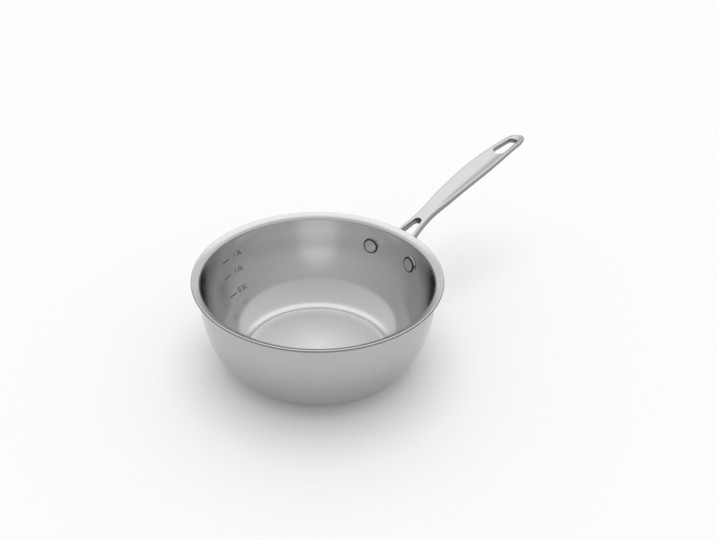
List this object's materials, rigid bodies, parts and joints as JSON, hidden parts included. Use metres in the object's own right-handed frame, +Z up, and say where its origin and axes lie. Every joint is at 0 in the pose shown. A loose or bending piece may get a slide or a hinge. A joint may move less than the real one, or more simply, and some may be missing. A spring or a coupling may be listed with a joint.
{
  "type": "deep saute pan",
  "caption": "Deep round saute pan: a clad steel bowl with a flared pouring lip and a long forked cast handle riveted to its wall, for frying and simmering on a hob.",
  "frame": {"origin": "centre of the flat underside, where the pan stands on the hob", "axes": "+Z up out of the bowl, +X along the handle away from the bowl, +Y to the left seen from behind the handle towards its tip"},
  "size_m": [0.4052, 0.212, 0.1191],
  "materials": {
    "satin_steel": "fine satin, brushed round the bowl",
    "core_aluminium": "rolled, sealed between the steel plies",
    "polished_steel": "mirror polished wall, satin floor",
    "cast_steel": "cast, ground and satin polished",
    "rivet_steel": "polished"
  },
  "bodies": {
    "root": {"outer_shell": "satin_steel", "aluminium_core": "core_aluminium", "inner_liner": "polished_steel", "handle": "cast_steel", "rivet_left": "rivet_steel", "rivet_right": "rivet_steel"}
  },
  "joints": []
}
